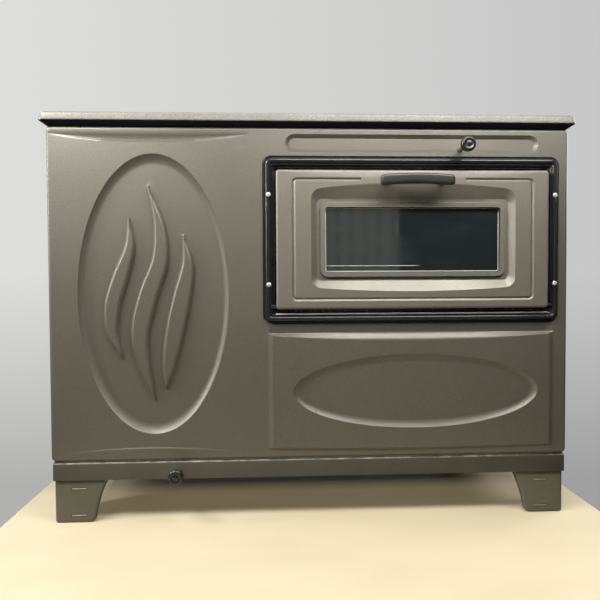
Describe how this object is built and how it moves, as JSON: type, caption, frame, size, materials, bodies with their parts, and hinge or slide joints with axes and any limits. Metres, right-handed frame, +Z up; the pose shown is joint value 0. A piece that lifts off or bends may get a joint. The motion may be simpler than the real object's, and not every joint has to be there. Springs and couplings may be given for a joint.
{
  "type": "wood cookstove",
  "caption": "Free-standing wood cookstove: steel body on cast legs, ground cast-iron cooktop with lift-off lids, bottom-hinged glazed oven door, end-loading firebox, ash drawer and rear flue collar.",
  "frame": {"origin": "on the floor under the middle of the whole stove's bounding box", "axes": "+X to the right of someone facing the oven door, +Y to the back, +Z up"},
  "size_m": [0.9344, 0.55, 0.686],
  "materials": {
    "paint": "satin anthracite-taupe stove paint with a fine texture",
    "frame": "gloss black",
    "collar": "dark satin",
    "iron": "ground",
    "cast_iron": "raw, dark",
    "steel": "mill",
    "zinc": "bright zinc",
    "enamel": "vitreous enamel",
    "glass": "clear heat-resistant",
    "knob": "black",
    "grip": "charcoal, satin",
    "rope": "woven glass-fibre rope"
  },
  "bodies": {
    "root": {"front_panel": "paint", "left_side_panel": "paint", "right_side_panel": "paint", "back_panel": "paint", "bottom_plate": "steel", "front_rail": "paint", "rear_rail": "paint", "left_rail": "paint", "right_rail": "paint", "leg_front_left": "paint", "leg_front_right": "paint", "leg_rear_right": "paint", "leg_rear_left": "paint", "collar_front": "collar", "collar_rear": "collar", "collar_left": "collar", "collar_right": "collar", "cooktop_plate": "iron", "oven_frame": "frame", "frame_screw_1": "zinc", "frame_screw_2": "zinc", "frame_screw_3": "zinc", "frame_screw_4": "zinc", "oven_hinge_pin_left": "steel", "oven_hinge_pin_right": "steel", "oven_box": "enamel", "oven_rack": "steel", "baking_tray": "enamel", "flue_chamber": "steel", "flue_collar": "cast_iron", "air_guide_left": "steel", "air_guide_right": "steel", "ash_wall_front": "steel", "ash_wall_rear": "steel", "firebox_shelf": "steel", "fire_grate": "cast_iron", "liner_front": "cast_iron", "liner_rear": "cast_iron", "liner_inner": "cast_iron", "liner_mouth": "cast_iron", "loading_frame": "cast_iron", "loading_hinge_pin": "steel"},
    "oven_door": {"oven_door_skin": "paint", "oven_glass": "glass", "oven_door_liner": "enamel", "oven_door_seal": "rope", "oven_door_handle": "grip"},
    "loading_door": {"loading_door": "cast_iron", "loading_baffle": "cast_iron"},
    "loading_latch": {"loading_latch": "steel"},
    "air_spinner": {"air_spinner": "cast_iron"},
    "ash_drawer": {"ash_drawer": "paint", "ash_drawer_pull": "steel"},
    "damper": {"damper_knob": "knob", "damper_rod": "steel"},
    "air_slide": {"air_knob": "knob", "air_slide": "steel"},
    "cooktop_ring": {"cooktop_ring": "iron"},
    "cooktop_lid": {"cooktop_lid": "iron"},
    "small_lid": {"small_lid": "iron"}
  },
  "joints": [
    {"name": "oven_door_hinge", "type": "hinge", "parent": "root", "child": "oven_door", "pos_m": [0.18725, -0.233, 0.36275], "axis": [1, 0, 0], "range_deg": [0, 90]},
    {"name": "loading_door_hinge", "type": "hinge", "parent": "root", "child": "loading_door", "pos_m": [-0.43835, 0.131, 0.37], "axis": [0, 0, -1], "range_deg": [0, 110]},
    {"name": "loading_latch_turn", "type": "hinge", "parent": "loading_door", "child": "loading_latch", "pos_m": [-0.44125, -0.094, 0.37], "axis": [-1, 0, 0], "range_deg": [0, 75]},
    {"name": "air_spinner_turn", "type": "hinge", "parent": "loading_door", "child": "air_spinner", "pos_m": [-0.44125, 0, 0.33], "axis": [1, 0, 0], "range_deg": [0, 45]},
    {"name": "ash_drawer_slide", "type": "slide", "parent": "root", "child": "ash_drawer", "axis": [-1, 0, 0], "range_m": [0, 0.25]},
    {"name": "damper_pull", "type": "slide", "parent": "root", "child": "damper", "axis": [0, -1, 0], "range_m": [0, 0.06]},
    {"name": "air_slide_pull", "type": "slide", "parent": "root", "child": "air_slide", "axis": [0, -1, 0], "range_m": [0, 0.06]},
    {"name": "cooktop_ring_lift", "type": "slide", "parent": "root", "child": "cooktop_ring", "axis": [0, 0, 1], "range_m": [0, 0.06]},
    {"name": "cooktop_lid_lift", "type": "slide", "parent": "cooktop_ring", "child": "cooktop_lid", "axis": [0, 0, 1], "range_m": [0, 0.06]},
    {"name": "small_lid_lift", "type": "slide", "parent": "root", "child": "small_lid", "axis": [0, 0, 1], "range_m": [0, 0.06]}
  ]
}
